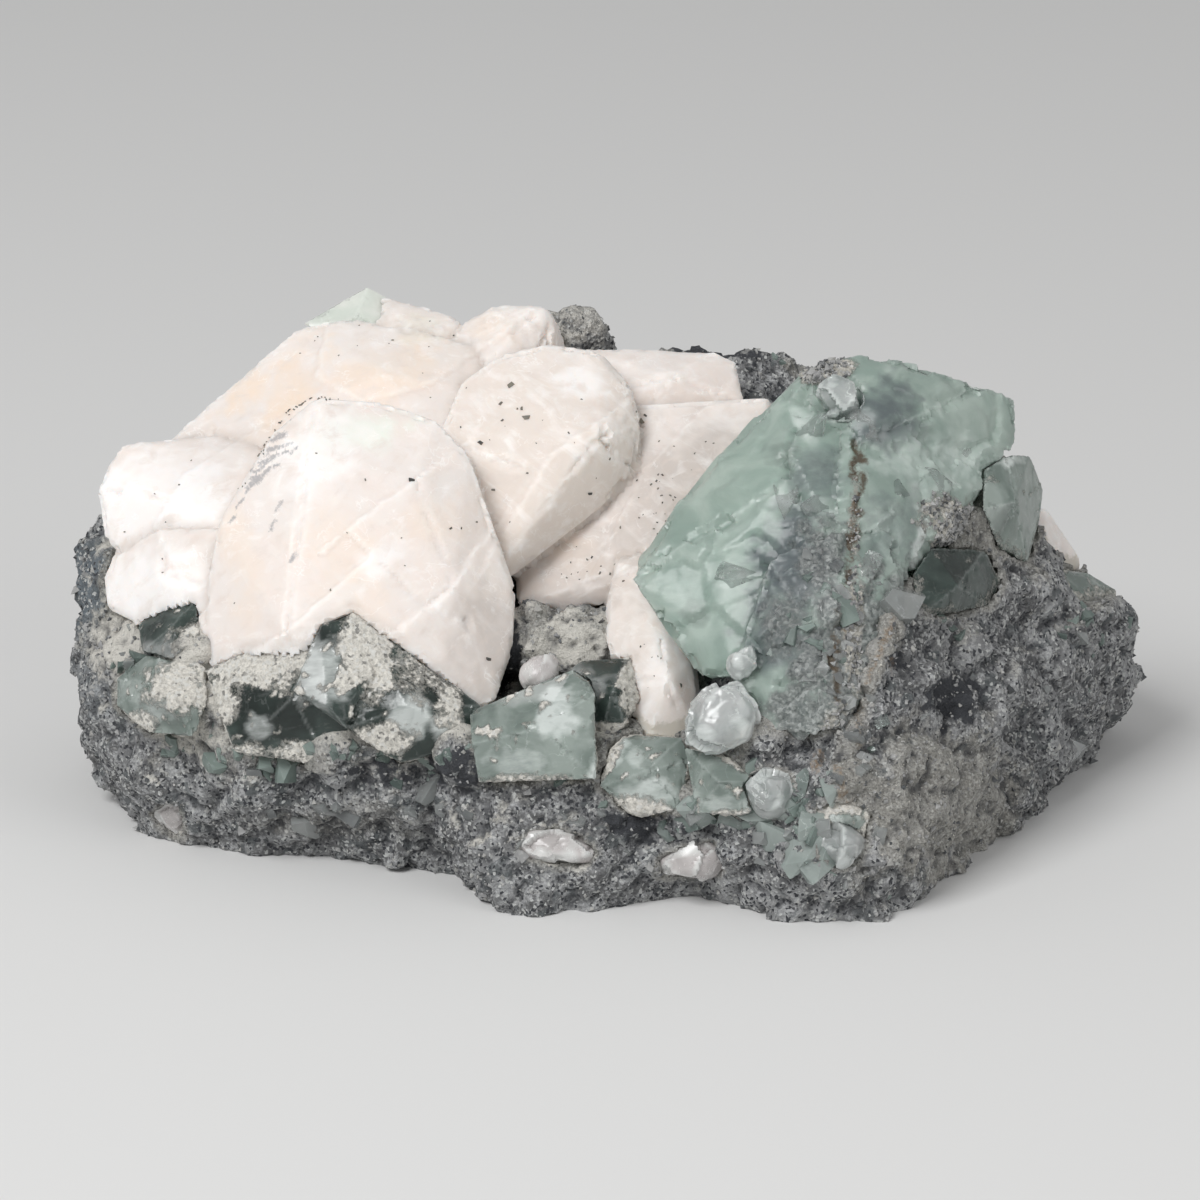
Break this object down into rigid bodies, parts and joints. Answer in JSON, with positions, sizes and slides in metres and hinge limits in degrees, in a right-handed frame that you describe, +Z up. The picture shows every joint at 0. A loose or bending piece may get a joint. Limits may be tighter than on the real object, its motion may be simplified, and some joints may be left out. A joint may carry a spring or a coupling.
{
  "type": "calcite with fluorite mineral specimen",
  "caption": "Natural cabinet specimen of intergrown white calcite crystals and pale green fluorite on grey granular rock, standing on a flat base.",
  "frame": {"origin": "middle of the box of the whole specimen, at the height of the flat base", "axes": "+X along the long side, to the right as seen from the front; +Y to the back; +Z up"},
  "size_m": [0.1432, 0.0944, 0.0641],
  "materials": {
    "rock": "rough, granular",
    "calcite": "satin, milky, slightly translucent",
    "fluorite": "glassy, cloudy pale green",
    "dark_fluorite": "glassy, dark grey-green",
    "quartz": "glassy, clear"
  },
  "bodies": {
    "root": {"matrix": "rock", "calcite_crystals": "calcite", "calcite_back_right": "calcite", "calcite_pebble": "calcite", "calcite_low_left": "calcite", "calcite_low_centre": "calcite", "calcite_low_right": "calcite", "fluorite_mass": "fluorite", "fluorite_summit": "fluorite", "fluorite_left_dark": "dark_fluorite", "fluorite_left_corner": "fluorite", "fluorite_front_left": "dark_fluorite", "fluorite_front_centre": "fluorite", "fluorite_centre_back": "dark_fluorite", "fluorite_front_right": "fluorite", "fluorite_low_right": "fluorite", "fluorite_low_corner": "fluorite", "fluorite_dark_right": "dark_fluorite", "fluorite_right_shoulder": "fluorite", "fluorite_far_right": "fluorite", "quartz_large": "quartz", "quartz_small": "quartz", "quartz_high": "quartz", "quartz_crest": "quartz", "quartz_low": "quartz"}
  },
  "joints": []
}
